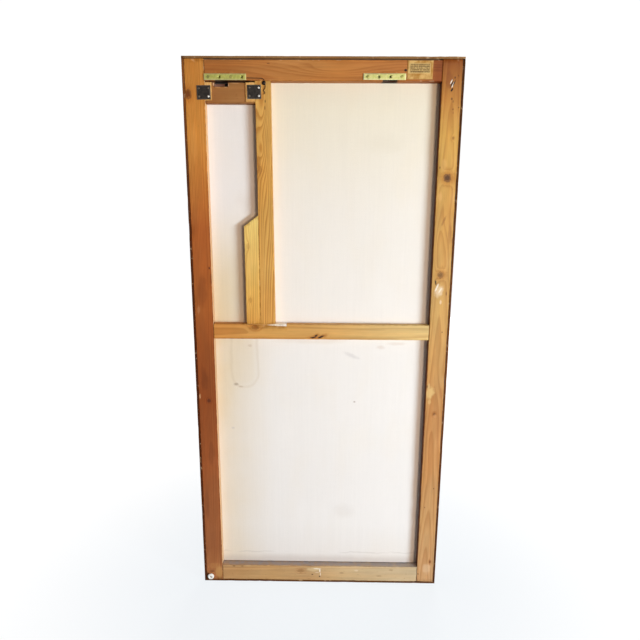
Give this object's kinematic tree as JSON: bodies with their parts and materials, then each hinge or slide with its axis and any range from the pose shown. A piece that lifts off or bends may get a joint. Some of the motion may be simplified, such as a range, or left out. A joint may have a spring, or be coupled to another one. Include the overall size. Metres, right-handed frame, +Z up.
{
  "type": "fabric screen frame",
  "caption": "Tall wooden frame with cloth stretched over its front, a cross bar, a braced inner upright, dark edge strips and hanging plates on the open rear side.",
  "frame": {"origin": "middle of the underside of the bottom edge strip, half way through the depth of the timber", "axes": "+Z up the height, +X to the right for a person facing the open rear side, -Y out of the open rear side, +Y out of the cloth side"},
  "size_m": [0.8, 0.0377, 1.689],
  "materials": {
    "left_stile_wood": "aged varnished pine, reddish brown, darker towards the foot",
    "right_stile_wood": "golden pine with dark knots, satin",
    "top_rail_wood": "aged orange-brown pine, satin",
    "bottom_rail_wood": "dusty pale pine, matt",
    "cross_bar_wood": "golden pine, satin",
    "upright_wood": "golden brown pine, satin",
    "stiffener_wood": "light yellow pine, satin",
    "short_rail_wood": "dark brown softwood, matt",
    "shim_wood": "light offcut pine, matt",
    "wedge_wood": "pale freshly cut wood, matt",
    "edge_strip_wood": "dark brown stained lath, satin",
    "dowel_wood": "plain beech dowel, matt",
    "screen_cloth": "unbleached cream plain-weave cloth with water stains",
    "label_paper": "aged tan paper, faint blank rules",
    "bumper_plastic": "white moulded plastic",
    "yellow_zinc": "yellow passivated zinc plate, worn bright at the edges",
    "black_steel": "black steel plate, scuffed",
    "nickel": "dull nickel",
    "dark_screw": "oxidised steel",
    "old_wire": "tarnished twisted picture wire",
    "brad_steel": "plain steel pin heads"
  },
  "bodies": {
    "root": {"left_stile": "left_stile_wood", "right_stile": "right_stile_wood", "top_rail": "top_rail_wood", "bottom_rail": "bottom_rail_wood", "cross_bar": "cross_bar_wood", "inner_upright": "upright_wood", "angled_stiffener": "stiffener_wood", "short_rail": "short_rail_wood", "shim_left": "shim_wood", "shim_right": "shim_wood", "tightening_wedge": "wedge_wood", "screen_cloth": "screen_cloth", "paper_label": "label_paper", "corner_bumper": "bumper_plastic", "corner_bumper_screw": "nickel", "hanging_plate_left": "yellow_zinc", "hanging_plate_right": "yellow_zinc", "hanging_plate_left_screw_1": "yellow_zinc", "hanging_plate_left_screw_2": "yellow_zinc", "hanging_plate_right_screw_1": "yellow_zinc", "hanging_plate_right_screw_2": "yellow_zinc", "square_plate_left": "black_steel", "square_plate_right": "black_steel", "wire_screw": "dark_screw", "hanging_wire": "old_wire", "edge_strip_top": "edge_strip_wood", "strip_brad_top_1": "brad_steel", "strip_brad_top_2": "brad_steel", "strip_brad_top_3": "brad_steel", "strip_brad_top_4": "brad_steel", "edge_strip_bottom": "edge_strip_wood", "strip_brad_bottom_1": "brad_steel", "strip_brad_bottom_2": "brad_steel", "strip_brad_bottom_3": "brad_steel", "strip_brad_bottom_4": "brad_steel", "edge_strip_left": "edge_strip_wood", "strip_brad_left_1": "brad_steel", "strip_brad_left_2": "brad_steel", "strip_brad_left_3": "brad_steel", "strip_brad_left_4": "brad_steel", "edge_strip_right": "edge_strip_wood", "strip_brad_right_1": "brad_steel", "strip_brad_right_2": "brad_steel", "strip_brad_right_3": "brad_steel", "strip_brad_right_4": "brad_steel", "square_plate_left_screw_bottom_left": "nickel", "square_plate_left_screw_bottom_right": "nickel", "square_plate_left_screw_top_right": "nickel", "square_plate_left_screw_top_left": "nickel", "square_plate_right_screw_bottom_left": "nickel", "square_plate_right_screw_bottom_right": "nickel", "square_plate_right_screw_top_right": "nickel", "square_plate_right_screw_top_left": "nickel", "corner_dowel_top_left": "dowel_wood", "corner_dowel_top_right": "dowel_wood", "corner_dowel_bottom_left": "dowel_wood", "corner_dowel_bottom_right": "dowel_wood", "cross_bar_dowel_left": "dowel_wood", "cross_bar_dowel_right": "dowel_wood"}
  },
  "joints": []
}
